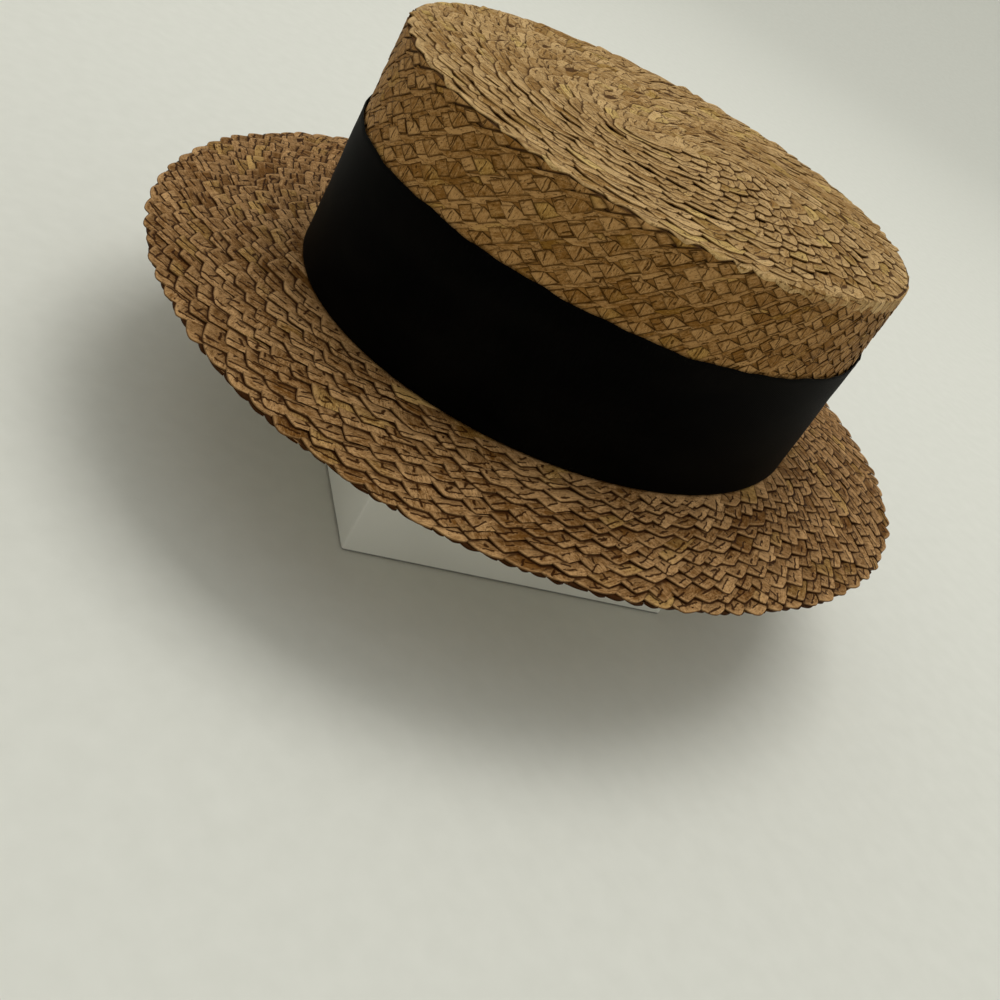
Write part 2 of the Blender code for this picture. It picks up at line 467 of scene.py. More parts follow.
def ramp(tree, value, low, high, to_low=0.0, to_high=1.0):
    """Map a value from one range to another, held at the ends."""
    made = tree.nodes.new("ShaderNodeMapRange")
    made.interpolation_type = "SMOOTHSTEP"
    tree.links.new(value, made.inputs["Value"])
    for key, number in (("From Min", low), ("From Max", high), ("To Min", to_low),
                        ("To Max", to_high)):
        made.inputs[key].default_value = number
    return made.outputs["Result"]


def mix(tree, share, first, second, how="MIX"):
    """Mix two colours, each a socket or four numbers."""
    made = tree.nodes.new("ShaderNodeMix")
    made.data_type = "RGBA"
    made.blend_type = how
    for slot, value in ((0, share), (6, first), (7, second)):
        if isinstance(value, (int, float, tuple)):
            made.inputs[slot].default_value = value
        else:
            tree.links.new(value, made.inputs[slot])
    return made.outputs[2]


def attribute(tree, name, output="Fac"):
    """A number or vector stored on the mesh."""
    made = tree.nodes.new("ShaderNodeAttribute")
    made.attribute_name = name
    return made.outputs[output]


def noise(tree, place, stretch, detail=2.0, roughness=0.55):
    """Noise on a place that is stretched along its three axes first."""
    mapping = tree.nodes.new("ShaderNodeMapping")
    mapping.inputs["Scale"].default_value = stretch
    tree.links.new(place, mapping.inputs["Vector"])
    made = tree.nodes.new("ShaderNodeTexNoise")
    made.inputs["Scale"].default_value = 1.0
    made.inputs["Detail"].default_value = detail
    made.inputs["Roughness"].default_value = roughness
    tree.links.new(mapping.outputs["Vector"], made.inputs["Vector"])
    return made.outputs["Fac"]


def split_vector(tree, vector):
    """The three numbers of a vector."""
    made = tree.nodes.new("ShaderNodeSeparateXYZ")
    tree.links.new(vector, made.inputs[0])
    return made.outputs


def add_bump(tree, shader, relief, strength, distance):
    """Make a surface look rough by tilting the light on it."""
    bump = tree.nodes.new("ShaderNodeBump")
    bump.inputs["Strength"].default_value = strength
    bump.inputs["Distance"].default_value = distance
    tree.links.new(relief, bump.inputs["Height"])
    tree.links.new(bump.outputs["Normal"], shader.inputs["Normal"])


def new_material(name, roughness):
    """An empty Principled material, its tree and its shader."""
    material = bpy.data.materials.new(name)
    material.use_nodes = True
    tree = material.node_tree
    shader = tree.nodes["Principled BSDF"]
    shader.inputs["Roughness"].default_value = roughness
    return material, tree, shader


def paint(piece, material):
    """Give a piece one material and no other."""
    piece.data.materials.clear()
    piece.data.materials.append(material)


def drawn_line(tree, name, wobble, width):
    """1 on a short line whose place the mesh stores, 0 beyond its width in mm."""
    along, across, half = split_vector(tree, attribute(tree, name, "Vector"))
    across = math_node(tree, "ADD", across, wobble)
    past = math_node(tree, "SUBTRACT", math_node(tree, "ABSOLUTE", along), half)
    past = math_node(tree, "MAXIMUM", past, 0.0)
    squares = math_node(tree, "ADD", math_node(tree, "MULTIPLY", across, across),
                        math_node(tree, "MULTIPLY", past, past))
    return ramp(tree, math_node(tree, "SQRT", squares), width, 0.4 * width)


def straw_material(name, pale, deep, dust_and_shade, gap_width, line_width, line_share, two_tone):
    """Straw from deep to pale, darkened by dust and painted shade in the gaps, on the folds and
    along the edges, with a painted highlight near the edges.
    """
    material, tree, shader = new_material(name, 0.6)
    place = attribute(tree, "straw", "Vector")
    streaks = noise(tree, place, (0.22, 3.0, 1.0), detail=3.0)
    hairs = noise(tree, place, (0.5, 9.0, 1.0), detail=2.0)
    patches = noise(tree, place, (0.35, 0.6, 1.0), detail=2.0)
    flecks = noise(tree, place, (0.7, 1.5, 1.0), detail=4.0, roughness=0.75)
    splits = noise(tree, place, (0.18, 2.2, 3.0), detail=1.0)
    mottle = noise(tree, place, (1.1, 1.7, 2.0), detail=5.0, roughness=0.8)
    wobble = math_node(tree, "MULTIPLY", math_node(tree, "SUBTRACT", patches, 0.5), 1.6)

    def add(first, second, share):
        return math_node(tree, "ADD", first, math_node(tree, "MULTIPLY", second, share))

    blend = add(math_node(tree, "MULTIPLY", streaks, 0.35), patches, 0.4)
    blend = add(add(blend, attribute(tree, "tone"), 0.4), mottle, 0.8)
    colour = mix(tree, ramp(tree, blend, 0.74, 1.20), deep, pale)
    across = split_vector(tree, attribute(tree, "line", "Vector"))[1]
    behind = ramp(tree, math_node(tree, "ADD", across, wobble), 0.1, -0.5, 0.0, two_tone)
    colour = mix(tree, behind, colour, tuple(0.55 * part for part in deep[:3]) + (1.0,))
    yellow = ramp(tree, noise(tree, place, (0.02, 0.02, 1.7), detail=0.0), 0.58, 0.66, 0.0, 0.45)
    colour = mix(tree, yellow, colour, (1.05, 1.14, 0.66, 1), "MULTIPLY")
    lip = attribute(tree, "lip")
    # Paler near the edge: rubbed wear and a painted highlight where the raised edge catches the
    # light. Right at the edge a thin dark line is painted as dust and shade.
    colour = mix(tree, ramp(tree, lip, 1.1, 0.3, 0.0, 0.35), colour, pale)

    # The fold lines and hooks are dark lines painted as the shade in the straw's creases.
    lines = math_node(tree, "MAXIMUM", drawn_line(tree, "line", wobble, line_width),
                      drawn_line(tree, "hook", wobble, 1.4 * line_width))
    splits = ramp(tree, splits, 0.64, 0.71, 0.0, 0.25)
    dark = math_node(tree, "MAXIMUM", math_node(tree, "MULTIPLY", lines, line_share), splits)
    under, side = add(attribute(tree, "under"), wobble, 0.4), attribute(tree, "side")
    # Each place for dust and painted shade: its number, where the darkening begins, where it is
    # full, and how dark. Only the flecks are dust alone.
    for value, low, high, most in (
        (flecks, 0.54, 0.63, 0.7),
        (under, gap_width, 0.55 * gap_width, 0.97),
        (under, 2.4 * gap_width, 0.5 * gap_width, 0.35),
        (lip, 0.22, 0.05, 0.6),
        (side, 0.93, 1.0, 0.4),
        (attribute(tree, "fold"), 0.1, 0.9, 0.92),
    ):
        dark = math_node(tree, "MAXIMUM", dark, ramp(tree, value, low, high, 0.0, most))
    # Painted shade in the corners where a shield's side goes under the row above.
    corner_shade = math_node(tree, "SUBTRACT", side, math_node(tree, "MULTIPLY", under, 0.14))
    dark = math_node(tree, "MAXIMUM", dark, ramp(tree, corner_shade, 0.55, 0.8, 0.0, 0.85))
    # The dust colour stands for both dust and painted shade.
    colour = mix(tree, dark, colour, dust_and_shade)
    tree.links.new(colour, shader.inputs["Base Color"])

    relief = add(math_node(tree, "MULTIPLY", hairs, 0.3), streaks, 0.8)
    relief = add(add(relief, flecks, -0.7), lines, -0.6)
    add_bump(tree, shader, relief, 0.8, 0.25 * MM)
    shader.inputs["Specular IOR Level"].default_value = STRAW_SHINE
    shader.inputs["Specular Tint"].default_value = (1.0, 0.8, 0.5, 1)
    return material


def core_material(name, pale, deep):
    """Plain straw for the solids, which show only in the gaps between the straws."""
    material, tree, shader = new_material(name, 0.7)
    where = tree.nodes.new("ShaderNodeTexCoord").outputs["Object"]
    grain = noise(tree, where, (400.0, 400.0, 900.0), detail=3.0)
    tree.links.new(mix(tree, ramp(tree, grain, 0.3, 0.7), deep, pale), shader.inputs["Base Color"])
    shader.inputs["Specular IOR Level"].default_value = STRAW_SHINE
    return material


# The three straws are one straw in three colours. The tip's is the palest and the side's the
# darkest, partly as painted light and shade: the tip faces the lamp and the side is in half shade.
brim_straw = straw_material(
    "brim_straw", (0.60, 0.355, 0.155, 1), (0.15, 0.061, 0.011, 1), (0.030, 0.008, 0.001, 1),
    gap_width=1.0, line_width=0.42, line_share=0.95, two_tone=0.3)
side_straw = straw_material(
    "side_straw", (0.50, 0.28, 0.105, 1), (0.22, 0.097, 0.019, 1), (0.050, 0.018, 0.001, 1),
    gap_width=0.30, line_width=0.22, line_share=0.85, two_tone=0.0)
tip_straw = straw_material(
    "tip_straw", (0.66, 0.44, 0.20, 1), (0.27, 0.135, 0.030, 1), (0.070, 0.026, 0.003, 1),
    gap_width=0.9, line_width=0.34, line_share=0.8, two_tone=0.2)
# The cores are painted in the dark colours of straw in shade, as painted shade deep in the gaps.
gap_shade_core = core_material("gap_shade_core", (0.10, 0.045, 0.014, 1), (0.05, 0.022, 0.008, 1))
side_shade_core = core_material("side_shade_core", (0.34, 0.165, 0.042, 1), (0.22, 0.10, 0.024, 1))
for name, core in (("brim", gap_shade_core), ("crown_tip", gap_shade_core), ("crown_side", side_shade_core)):
    paint(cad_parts[name], core)


def dress(piece, material):
    """Give a piece its material and its body."""
    paint(piece, material)
    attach(piece, "root")
    return piece


print("materials:", sorted(material.name for material in bpy.data.materials))

# %% [markdown]
# ## The brim's rows
#
# Ten rows show on the brim. The teeth point outwards, and every tooth lies on the next row. A
# tooth is the end of a straw that runs back up to the right, so the shields lean that way. The
# last row has blunter teeth, which stick out a little past the rim. The table of sizes made
# here is the pattern for all other rows, which change only what differs.

# %% Rows of the brim
BRIM_ROWS = 10
ROW_OVERLAP = 1.0 * MM
LAST_ROW_INSET = 0.7 * MM
brim_row = brim_width / BRIM_ROWS
brim_style = {
    "pitch": 9.0 * MM, "unevenness": 0.15, "apex_share": 0.57, "notch_spread": 0.4 * MM,
    "depth": 2.7 * MM, "bluntness": 0.05, "slant": 1.5, "foot": -0.1 * MM, "lip": 0.6 * MM,
    "swell": 0.16 * MM, "tilt": 0.20 * MM, "curl": 0.22 * MM, "thickness": 0.36 * MM,
    "wander": 0.2 * MM, "tone": 0.44, "drifts": False,
    "columns": SHIELD_COLUMNS, "rows": SHIELD_ROWS,
}
last_style = dict(
    brim_style, pitch=9.8 * MM, depth=1.6 * MM, bluntness=0.5, notch_spread=0.3 * MM,
    lip=0.4 * MM, slant=0.8,
)

plan = []
for number in range(BRIM_ROWS):
    last = number == BRIM_ROWS - 1
    line = (number + 1) * brim_row - (LAST_ROW_INSET if last else 0.0)
    plan.append((line - brim_row / 2, number * brim_row - ROW_OVERLAP, line,
                 last_style if last else brim_style))
rows = lay_rows(brim_surface, plan)
brim_braid = dress(join_rows("brim_braid", rows), brim_straw)

# %% [markdown]
# The brim's solid is 3 mm thick right out to its edge, and the real rim is about 2 mm thick. So
# a thinner core takes the solid's place here. It is painted dark, as painted shade for the depth
# between straws, and it shows only where the straws leave a gap.

# %% Core of the brim
CORE_INSET = 0.15 * MM
CORE_EDGE = 0.7 * MM
CORE_TURNS = 240
CORE_RINGS = 13
core_turn = np.linspace(0.0, 2 * math.pi, CORE_TURNS + 1)[None, None, :]
core_outward = np.linspace(-CROWN_WALL, brim_width - CORE_EDGE, CORE_RINGS)[None, :, None]
core_points = np.concatenate([
    brim_surface(core_turn, core_outward + 0 * core_turn, -CORE_INSET),
    underside_surface(core_turn, brim_width - core_outward[:, ::-1] + 0 * core_turn, -CORE_INSET),
    brim_surface(core_turn, core_outward[:, :1] + 0 * core_turn, -CORE_INSET),
], axis=1)
brim_core = dress(weld(grids_to_object("brim_core", core_points)), gap_shade_core)
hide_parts("brim")

# %% [markdown]
# ## The tip's rows
#
# The tip is the same braid, wound from the middle outwards. Its last row is pulled over the
# edge and shows as a pale band at the head of the side, narrow at first and then wider, as it
# turns into the first row of the side. Light falls on this band, so none of the dust and painted
# shade of the gaps is put on it.

# %% Rows of the tip
TIP_ROWS = 15
TIP_EYE = 2.5 * MM
MIDDLE_OVERLAP = 0.3 * MM
TIP_OVERLAP = 4.0 * MM
EDGE_SPACE = 3.0 * MM
EDGE_LINE = -0.9 * MM
CLEAR_OF_DUST_AND_SHADE = 0.9
tip_style = dict(
    brim_style, pitch=8.6 * MM, unevenness=0.3, depth=2.1 * MM, notch_spread=0.65 * MM,
    foot=-0.1 * MM, lip=0.44 * MM, curl=0.4 * MM, bluntness=0.35, slant=1.0,
    wander=0.35 * MM, tone=0.5,
)
edge_style = dict(
    tip_style, pitch=9.8 * MM, depth=1.1 * MM, notch_spread=0.25 * MM, foot=0.15 * MM,
    lip=0.5 * MM, swell=0.05 * MM, curl=0.05 * MM, tilt=0.05 * MM, tone=0.6, slant=0.0,
    bluntness=0.1, wander=0.1 * MM, drifts=True,
)
tip_reach = half_width - lean
tip_row = (tip_reach - TIP_EYE) / TIP_ROWS
plan = []
for number in range(TIP_ROWS + 1):
    last = number == TIP_ROWS
    line = EDGE_LINE if last else (number + 1 - TIP_ROWS) * tip_row - EDGE_SPACE
    start = (number - TIP_ROWS) * tip_row - TIP_OVERLAP
    if number == 0:
        start = -tip_reach - MIDDLE_OVERLAP
    plan.append((line - tip_row / 2 - lean, start, line, edge_style if last else tip_style))
rows = lay_rows(tip_surface, plan)
# The pale band gets none of the dust and painted shade of the gaps.
rows[-1]["under"] = np.maximum(rows[-1]["under"], CLEAR_OF_DUST_AND_SHADE)
rows[-1]["side"] = 0 * rows[-1]["side"]
tip_braid = dress(join_rows("tip_braid", rows), tip_straw)

# %% [markdown]
# ## The rim
#
# Under its last row the braid is turned back on itself, so one more layer of finer, darker folds
# shows there. Its edge closes the brim. The whole layer is painted dark, as dust and as the shade
# under the last row.

# %% Lower layer of the rim
RIM_LAYER = 4.0 * MM
RIM_LAYER_INSET = 0.4 * MM
RIM_DUST_AND_SHADE = 0.35
rim_style = dict(
    last_style, pitch=6.0 * MM, unevenness=0.2, depth=0.6 * MM, notch_spread=0.12 * MM, tone=0.2,
    foot=-0.3 * MM, lip=-0.15 * MM, swell=0.10 * MM, curl=0.08 * MM, slant=0.0,
    thickness=0.7 * MM,
)
plan = [(brim_width, brim_width - RIM_LAYER, brim_width - RIM_LAYER_INSET, rim_style)]
rows = lay_rows(brim_surface, plan)
# The whole layer is painted dark, as dust and as the shade under the last row.
rows[0]["under"] = np.full(rows[0]["under"].shape, RIM_DUST_AND_SHADE)
rim_braid = dress(join_rows("rim_braid", rows), brim_straw)

# %% [markdown]
# ## The underside and the inside
#
# From below, each row's inner edge lies over the row before it, so the teeth point inwards. The
# same helper makes these rows on the underside's surface, with fewer points, because they are
# seen less. The last row's teeth end where the crown begins.

# %% Rows of the underside
RIM_SPACE = 0.2 * MM
under_style = dict(
    brim_style, columns=np.array([-1, -1, -0.7, -0.35, 0, 0.35, 0.7, 1, 1]),
    rows=np.array([0.0, 0.4, 0.7, 0.92, 1.0, 1.0]), depth=1.9 * MM, foot=-0.2 * MM,
)
plan = []
for number in range(BRIM_ROWS):
    line = (number + 1) * brim_row
    if number == BRIM_ROWS - 1:
        line -= under_style["depth"]
    start = line - brim_row - (ROW_OVERLAP if number else -RIM_SPACE)
    plan.append((brim_width - line + brim_row / 2, start, line, under_style))
rows = lay_rows(underside_surface, plan)
underside_braid = dress(join_rows("underside_braid", rows), brim_straw)

# %% [markdown]
# Inside the crown the teeth point up, and the straw is pressed flat. The rows begin a little
# over the brim and stop short of the tip.

# %% Rows inside the crown
INSIDE_START = 1.0 * MM
INSIDE_OVERLAP = 0.8 * MM
INSIDE_SPACE = 4 * MM


def inside_surface(turn, up, lift):
    """The inner face of the crown's side, measured from the brim up."""
    return side_surface(turn, crown_height - up, -CROWN_WALL - lift)


inside_style = dict(
    under_style, columns=np.array([-1, -1, -0.5, 0, 0.5, 1, 1]),
    rows=np.array([0.0, 0.5, 0.9, 1.0, 1.0]), pitch=9.8 * MM, depth=1.4 * MM,
    foot=0.0, lip=0.4 * MM, thickness=0.3 * MM,
)
plan = []
for number in range(int((crown_height - INSIDE_SPACE) / SIDE_ROW)):
    line = INSIDE_START + (number + 1) * SIDE_ROW
    plan.append((-CROWN_WALL, line - SIDE_ROW - INSIDE_OVERLAP, line, inside_style))
rows = lay_rows(inside_surface, plan)
inside_braid = dress(join_rows("inside_braid", rows), side_straw)

# %% [markdown]
# ## The side of the crown
#
# On the side the braid is pressed flat, and the plait itself shows: straws that rise to the
# right at 30 degrees, cut into diamonds by the straws that cross them. At the head of each row
# the straws fold back, which leaves a kite with a crease down its middle. Each of these is one
# small pillow, laid out flat in millimetres along the row and down from its head, and then
# wrapped round the crown. The table gives one cell of the plait.

# %% One cell of the plait
CELL_PITCH = 10.0 * MM
CELL_SHIFT = 3.0 * MM
PATCH_ALONG = np.array([0.0, 0.0, 0.03, 0.09, 0.5, 0.91, 0.97, 1.0, 1.0])
PATCH_ACROSS = np.array([0.0, 0.0, 0.05, 0.15, 0.5, 0.85, 0.95, 1.0, 1.0])

# Corners: start and end of the upper edge, start and end of the lower edge, then their lifts
PLAIT_CELL = {
    "long_straw": ((-3.4, 5.6), (6.65, -0.2), (0.5, 5.6), (10.55, -0.2), (0.30, 0.04, 0.30, 0.04)),
    "diamond": ((3.5, 3.5), (6.3, 1.1), (6.7, 5.75), (9.7, 3.6), (0.36, 0.28, 0.46, 0.20)),
    "kite": ((-3.3, 1.7), (-0.4, -0.5), (0.5, 3.75), (4.7, 0.3), (0.46, 0.20, 0.54, 0.22)),
}
FOLD_CELL = ((-2.4, 5.65), (0.0, 4.35), (0.1, 5.95), (2.3, 5.65), (0.48, 0.46, 0.5, 0.48))
FOLD_SHARE = 0.3
DUST_AND_SHADE_LINE = 0.32


def lay_patches(surface, turn_at, places, lifts, swell, thickness, crease_at, rising):
    """Pillows on a surface. places is (patches, 4, 2) along and down, in metres."""
    count = len(places)
    across = PATCH_ACROSS[None, :, None]
    along = PATCH_ALONG[None, None, :]
    weights = ((1 - across) * (1 - along), (1 - across) * along, across * (1 - along),
               across * along)
    beside = sum(w * places[:, k, 0, None, None] for k, w in enumerate(weights))
    down = sum(w * places[:, k, 1, None, None] for k, w in enumerate(weights))
    lift = sum(w * lifts[:, k, None, None] for k, w in enumerate(weights))
    pillow = (1 - np.abs(2 * across - 1) ** 3) * (1 - 0.4 * np.abs(2 * along - 1) ** 4)
    turned_down = np.zeros((len(PATCH_ACROSS), len(PATCH_ALONG)))
    turned_down[[0, -1], :] = 1
    turned_down[:, [0, -1]] = 1
    tall = np.linalg.norm(places[:, 2] - places[:, 0], axis=1)[:, None, None] / MM
    long = np.linalg.norm(places[:, 1] - places[:, 0], axis=1)[:, None, None] / MM
    to_edge = np.minimum(tall * np.minimum(across, 1 - across), long * np.minimum(along, 1 - along))
    height = lift + swell[:, None, None] * pillow - thickness * turned_down[None]
    shape = beside.shape
    upward = (places[:, 1] - places[:, 0])
    angle = np.arctan2(upward[:, 1], upward[:, 0])[:, None, None]
    middle = places.mean(axis=1)
    sideways = (beside - middle[:, 0, None, None]) / MM
    deep = (down - middle[:, 1, None, None]) / MM
    seed = draw.uniform(0, 100, count)
    fan = np.where(rising, angle, math.pi / 2 + 0 * angle)
    straight_down = np.full(count, math.pi / 2)
    # The kite's crease and the hooks are drawn as dark lines, painted shade in the creases.
    fold_line = line_place(
        (beside - crease_at[:, None, None]) / MM, deep, straight_down, 0 * seed, 0 * seed,
        draw.uniform(1.2, 2.2, count))
    hook = line_place(
        sideways, deep, fan[:, 0, 0], draw.normal(0.0, 0.9, count), draw.normal(0.0, 1.5, count),
        draw.uniform(-2.5, 2.0, count))
    # Each patch is darkened along its edges, by a random amount per patch, as dust and as painted
    # shade in the gaps between patches.
    edge_dust_and_shade = draw.uniform(0.55, 1.0, count)[:, None, None]
    edge_dust_and_shade = edge_dust_and_shade * (1 - smooth(0.5 * DUST_AND_SHADE_LINE, 1.5 * DUST_AND_SHADE_LINE, to_edge))
    return {
        "points": surface(turn_at(beside), down, height),
        "straw": turned_place(sideways, deep, fan, seed[:, None, None]),
        "tone": np.broadcast_to(draw.normal(0.5, 0.2, count)[:, None, None], shape),
        "under": np.full(shape, 9.0),
        "lip": np.full(shape, 9.0),
        "fold": np.maximum(turned_down[None], edge_dust_and_shade),
        "side": np.zeros(shape),
        "line": fold_line,
        "hook": hook,
    }


# %% [markdown]
# The rows run from under the pale edge of the tip to a little below the head of the ribbon.
# Each row's plait is shifted about 3 mm from the row above, as it happened to be sewn.

# %% Rows of the side
HIDDEN_BY_RIBBON = 3.0 * MM
SIDE_START = -1.9 * MM
TOP_EDGE = 0.15 * MM
LEAST_SHOWN = 1.5 * MM
OVERLAP = 1.09
ribbon_head = crown_top - band_high.z
side_rows = math.ceil((ribbon_head + HIDDEN_BY_RIBBON - SIDE_START) / SIDE_ROW)
length, turn_at = measured_oval(0.0)
cells = round(length / CELL_PITCH)
rows = []
for number in range(side_rows):
    head = SIDE_START + number * SIDE_ROW
    shift = number * CELL_SHIFT + draw.normal(0.0, 0.8 * MM)
    starts = np.linspace(0.0, length, cells, endpoint=False)
    starts = starts + shift + draw.normal(0.0, 0.45 * MM, cells)
    layers = [(PLAIT_CELL[part], part, starts) for part in ("long_straw", "diamond", "kite")]
    layers.append((FOLD_CELL, "fold", starts[draw.random(cells) < FOLD_SHARE]))
    for (*places, lifts), part, at in layers:
        corners = np.array(places)[None] * MM + draw.normal(0.0, 0.16 * MM, (len(at), 4, 2))
        if part == "long_straw":
            corners[:, 2:, 0] += draw.normal(0.0, 0.5 * MM, len(at))[:, None]
        centre = corners.mean(axis=1, keepdims=True)
        corners = centre + (corners - centre) * OVERLAP
        corners[..., 0] += at[:, None]
        corners[..., 1] += head + drift(at, length)[:, None]
        shown = corners[..., 1].max(axis=1) > LEAST_SHOWN
        at, corners = at[shown], np.maximum(corners[shown], [-math.inf, TOP_EDGE])
        lift = np.array(lifts)[None] * MM + draw.normal(0.0, 0.05 * MM, (len(at), 4))
        crease_at = at + draw.normal(0.0, 0.4 * MM, len(at)) if part == "kite" else at + 1.0
        rows.append(lay_patches(
            side_surface, turn_at, corners, lift, draw.uniform(0.08, 0.2, len(at)) * MM,
            0.3 * MM, crease_at, part in ("long_straw", "diamond")))
side_braid = dress(join_rows("side_braid", rows), side_straw)

# %% [markdown]
# The inner face of the tip is the back of the same rows. Like the underside of the brim, it
# shows teeth that point inwards, so its rows are counted from the crown's wall to the middle.
# The last row stops early, so that its teeth don't cross in the middle.

# %% Rows inside the tip
inside_reach = tip_reach - CROWN_WALL
inside_tip_row = inside_reach / TIP_ROWS


def inside_tip_surface(turn, inward, lift):
    """The tip's inner face, measured from the crown's wall inwards."""
    x = (inside_reach - inward) * np.cos(turn)
    y = (half_length - lean - CROWN_WALL - inward) * np.sin(turn)
    return np.stack([x, y, crown_top - TIP_WALL - lift], axis=-1)


plan = []
for number in range(TIP_ROWS):
    line = (number + 1) * inside_tip_row
    if number == TIP_ROWS - 1:
        line -= 2 * inside_style["depth"]
    plan.append((inside_tip_row / 2 - line - lean - CROWN_WALL,
                 line - inside_tip_row - ROW_OVERLAP, line, inside_style))
rows = lay_rows(inside_tip_surface, plan)
inside_tip_braid = dress(join_rows("inside_tip_braid", rows), tip_straw)

# %% [markdown]
# ## The ribbon
#
# The ribbon is a band of ribbed silk, a little under 48 mm wide. It was sewn tight round the
# crown, and its free end was folded under and lapped over the start. Cloth pulled tight over a
# hard oval has almost no folds, so a simulation would only give the oval back. Here the band is
# bent round directly, with the slight waves in its upper edge that the photo shows, and a
# thicker woven edge above and below.

# %% Band and lapped end
RIBBON_THICKNESS = 0.55 * MM
RIBBON_CLEARANCE = 0.85 * MM
RIBBON_STEPS = 480
GAP = 0.3 * MM
LAP_START = math.radians(41.0)
LAP_LENGTH = 24.0 * MM
LAP_STEPS = 40
LAP_INSET = 0.3 * MM
LAP_SPACE = 0.15 * MM
lap_radius = math.hypot(half_width * math.sin(LAP_START), half_length * math.cos(LAP_START))
lap_end = LAP_START + LAP_LENGTH / lap_radius
ribbon_width = band_high.z - band_low.z
levels = np.concatenate([[0.0, 0.004, 0.02, 0.035], np.linspace(0.12, 0.88, 9),
                         [0.965, 0.98, 0.996, 1.0]])


def ribbon_points(turn, clearance, inset):
    """The ribbon's section, out over its face and back behind it, at each turn."""
    section = np.concatenate([levels, levels[::-1]])
    outer = np.arange(len(section)) < len(levels)
    share = section[None, :, None]
    around = turn[None, None, :]
    top_wave = waves(around, 3, {5: 0.22 * MM, 9: 0.18 * MM, 17: 0.18 * MM, 31: 0.15 * MM,
                                 57: 0.10 * MM})
    dents = waves(around + share, 4, {4: 0.10 * MM, 11: 0.07 * MM, 23: 0.04 * MM})
    selvedge = 0.10 * MM * np.exp(-(((np.minimum(share, 1 - share)) - 0.02) / 0.012) ** 2)
    rounded = 0.5 * (1 - smooth(0.0, 0.012, np.minimum(share, 1 - share)))
    face = RIBBON_THICKNESS * (1 - rounded) + selvedge
    back = RIBBON_THICKNESS * rounded
    depth = clearance + dents * (4 * share * (1 - share)) + np.where(
        outer[None, :, None], face, back)
    above = GAP + inset + share * (ribbon_width - 2 * inset) + top_wave * share**2
    down = crown_height - above
    return side_surface(around + 0 * share, down + 0 * around, depth)


def ribbon_object(name, turn, clearance, inset=0.0, fill=False):
    """A ribbon's mesh over a range of turns, with the numbers for its ribs."""
    points = ribbon_points(turn, clearance, inset)
    rows_closed = np.concatenate([points, points[:, :1]], axis=1)
    around = np.broadcast_to(turn[None, None, :], rows_closed.shape[:3])
    half = (half_width + half_length) / 2 / MM
    place = np.stack([around * half, rows_closed[..., 2] / MM, 0 * around], axis=-1)
    made = grids_to_object(name, rows_closed[:, ::-1], {}, {"straw": place[:, ::-1]})
    return weld(made, fill)


seam = (LAP_START + lap_end) / 2
ribbon_turn = np.linspace(seam, seam + 2 * math.pi, RIBBON_STEPS + 1)
band = ribbon_object("ribbon_cloth", ribbon_turn, RIBBON_CLEARANCE)
lap = ribbon_object(
    "ribbon_end", np.linspace(LAP_START, lap_end, LAP_STEPS),
    RIBBON_CLEARANCE + RIBBON_THICKNESS + LAP_SPACE, LAP_INSET, fill=True)

# %% [markdown]
# The silk is woven with fine upright ribs. It is nearly black and dull, with a faint bloom
# where the eye meets it at a low angle, and here and there some pale lint.

# %% Ribbon material
def ribbon_material():
    """Ribbed black silk: upright ribs, a dull face, a faint bloom at a low angle, some lint."""
    material, tree, shader = new_material("ribbed_silk", 0.62)
    place = attribute(tree, "straw", "Vector")
    wave = tree.nodes.new("ShaderNodeTexWave")
    wave.wave_type = "BANDS"
    wave.bands_direction = "X"
    wave.inputs["Scale"].default_value = 0.42
    wave.inputs["Distortion"].default_value = 0.3
    tree.links.new(place, wave.inputs["Vector"])
    wear = noise(tree, place, (0.03, 0.06, 1.0), detail=3.0)
    lint = noise(tree, place, (0.9, 0.9, 1.0), detail=4.0, roughness=0.8)
    colour = mix(tree, ramp(tree, wear, 0.35, 0.75), (0.0006, 0.0005, 0.0004, 1),
                 (0.0022, 0.0018, 0.0013, 1))
    colour = mix(tree, ramp(tree, lint, 0.80, 0.86, 0.0, 0.35), colour, (0.16, 0.15, 0.13, 1))
    tree.links.new(colour, shader.inputs["Base Color"])
    add_bump(tree, shader, wave.outputs["Fac"], 0.35, 0.10 * MM)
    shader.inputs["Specular IOR Level"].default_value = 0.02
    shader.inputs["Sheen Weight"].default_value = 0.008
    shader.inputs["Sheen Roughness"].default_value = 0.4
    shader.inputs["Sheen Tint"].default_value = (1.0, 0.9, 0.75, 1)
    return material


silk = ribbon_material()
for piece, solid in ((band, "ribbon_band"), (lap, "ribbon_lap")):
    dress(piece, silk)
    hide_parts(solid)
crown_round = measured_oval(0.0)[0]

# %% [markdown]
# ## The block
#
# The block under the hat is plain painted wood. Its solid already has the right shape, so it
# only gets its paint: matt, off white, a little uneven from the roller, and darker along its
# foot as dirt and a painted shadow of the gap under it.

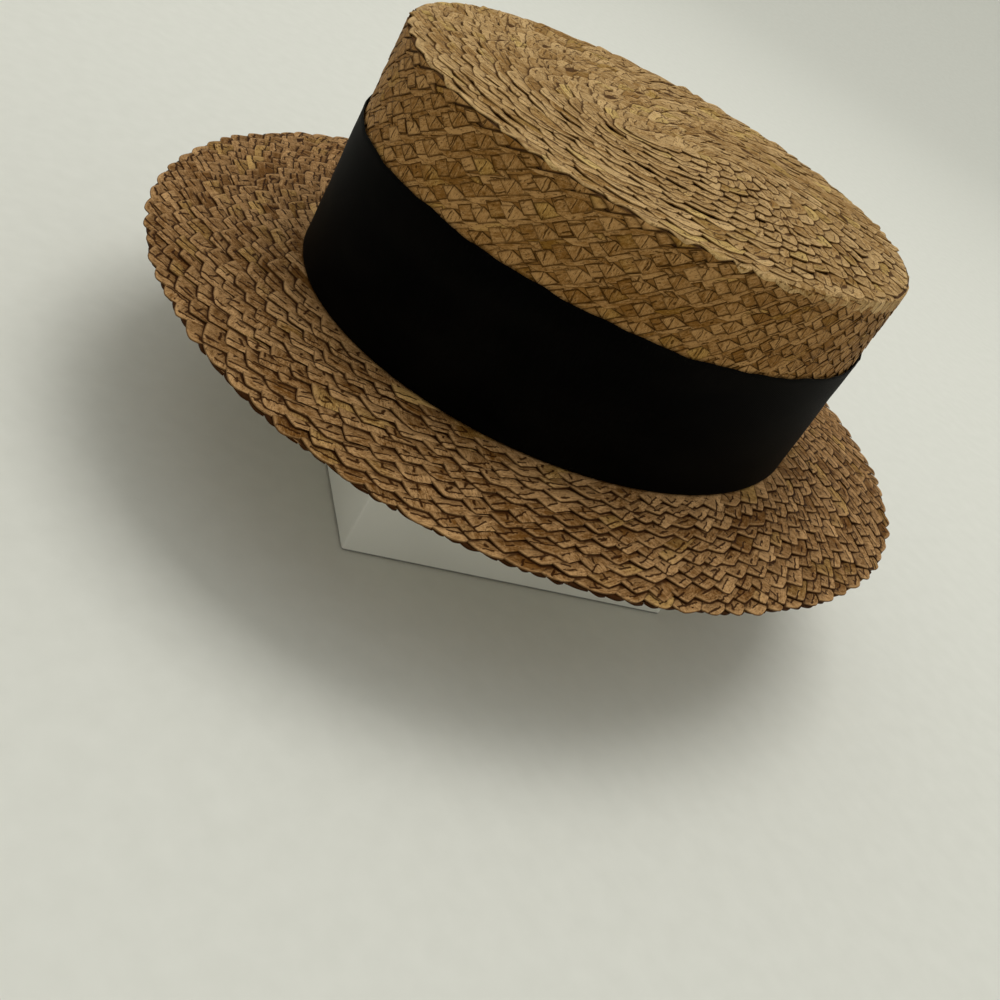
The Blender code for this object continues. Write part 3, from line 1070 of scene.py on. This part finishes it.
# %% Block paint
def block_paint():
    """Matt off-white paint with a faint unevenness and a dark foot of dirt and painted shadow."""
    material, tree, shader = new_material("matt_paint", 0.75)
    where = tree.nodes.new("ShaderNodeTexCoord").outputs["Object"]
    clouds = noise(tree, where, (14.0, 14.0, 14.0), detail=3.0)
    colour = mix(tree, ramp(tree, clouds, 0.35, 0.7), (0.76, 0.75, 0.70, 1), (0.83, 0.82, 0.77, 1))
    height = split_vector(tree, where)[2]
    # The lowest millimetre is painted dark: dirt on the foot and the shadow of a gap under it.
    foot_dirt_and_shadow = ramp(tree, height, 1.0 * MM, 0.4 * MM, 0.0, 0.85)
    colour = mix(tree, foot_dirt_and_shadow, colour, (0.06, 0.055, 0.045, 1))
    tree.links.new(colour, shader.inputs["Base Color"])
    add_bump(tree, shader, noise(tree, where, (600.0, 600.0, 600.0), detail=2.0), 0.15, 0.2 * MM)
    shader.inputs["Specular IOR Level"].default_value = 0.3
    return material


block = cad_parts["display_block"]
paint(block, block_paint())
print("block:", block.name, "is painted with", block.data.materials[0].name)

# %% [markdown]
# ## Floor and light
#
# The floor is a wide shallow bowl of pale paper, so it has no horizon from any side.

# %% Floor
BOWL_RADIUS = 3.6
BOWL_HEIGHT = 2.4
BOWL_RINGS = 48
BOWL_SPOKES = 96
ring = np.linspace(0.0, 1.0, BOWL_RINGS)[None, :, None]
spoke = np.linspace(0.0, 2 * math.pi, BOWL_SPOKES + 1)[None, None, :]
radius = BOWL_RADIUS * ring**0.8
rise = BOWL_HEIGHT * np.clip((radius / BOWL_RADIUS - 0.45) / 0.55, 0, 1) ** 2.2
bowl_points = np.stack(np.broadcast_arrays(
    radius * np.cos(spoke), radius * np.sin(spoke), rise), axis=-1)
floor = grids_to_object("floor", bowl_points)
paper, tree, shader = new_material("paper", 0.9)
grain = tree.nodes.new("ShaderNodeTexNoise")
grain.inputs["Scale"].default_value = 900.0
tree.links.new(mix(tree, grain.outputs["Fac"], (0.73, 0.73, 0.665, 1), (0.79, 0.79, 0.725, 1)),
               shader.inputs["Base Color"])
shader.inputs["Specular IOR Level"].default_value = 0.2
floor.data.materials.append(paper)

# %% [markdown]
# One large soft lamp hangs almost straight over the hat, a little behind it as the camera sees
# it. It lights the tip, leaves the near side in half shade and lays a soft shadow towards the
# camera. The world adds a little even light.

# %% Lamp and world
hat_middle = Vector((0.0, 0.0, 0.09))
lamp_place = Vector((-0.25, 0.45, 1.9))
lamp_data = bpy.data.lights.new("sky_lamp", "AREA")
lamp_data.shape = "RECTANGLE"
lamp_data.size = 1.3
lamp_data.size_y = 1.2
lamp_data.energy = 15.5
lamp_data.color = (1.0, 0.99, 0.96)
lamp = bpy.data.objects.new("sky_lamp", lamp_data)
lamp.location = lamp_place
lamp.rotation_euler = (hat_middle - lamp_place).to_track_quat("-Z", "Y").to_euler()
bpy.context.scene.collection.objects.link(lamp)
print("the lamp hangs", round((lamp_place - hat_middle).length, 2), "m from the hat")
world = bpy.data.worlds.new("room")
world.use_nodes = True
world.node_tree.nodes["Background"].inputs["Color"].default_value = (0.86, 0.87, 0.85, 1)
world.node_tree.nodes["Background"].inputs["Strength"].default_value = 0.68
bpy.context.scene.world = world
bpy.context.scene.view_settings.view_transform = "Standard"
